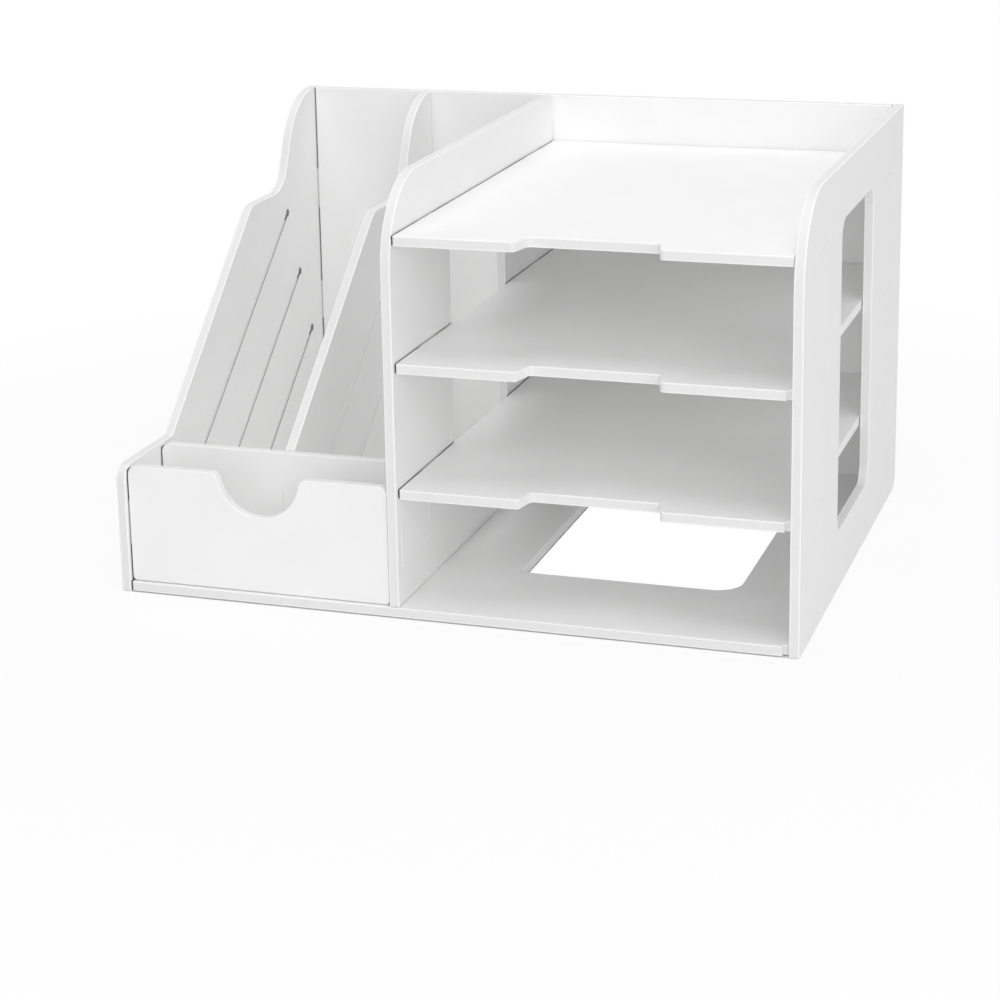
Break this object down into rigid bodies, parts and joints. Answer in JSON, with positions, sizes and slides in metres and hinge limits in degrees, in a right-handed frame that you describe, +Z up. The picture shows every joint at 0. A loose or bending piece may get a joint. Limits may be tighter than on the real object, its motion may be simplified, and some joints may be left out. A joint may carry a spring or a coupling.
{
  "type": "desk file and letter sorter",
  "caption": "Flat-board desk sorter: upright file bays behind a scooped front bin, beside stacked letter trays with finger notches, side windows and a closed back.",
  "frame": {"origin": "on the floor, under the middle of the unit's bounding box", "axes": "+X to the right seen from the front, +Y from the open front to the closed back, +Z up"},
  "size_m": [0.42, 0.332, 0.2625],
  "materials": {
    "white_board": "smooth satin white foam board"
  },
  "bodies": {
    "root": {"left_side_panel": "white_board", "file_partition": "white_board", "divider_panel": "white_board", "right_side_panel": "white_board", "back_panel": "white_board", "base_board": "white_board", "lower_tray": "white_board", "middle_tray": "white_board", "top_tray": "white_board", "bin_front": "white_board", "file_stop": "white_board"}
  },
  "joints": []
}
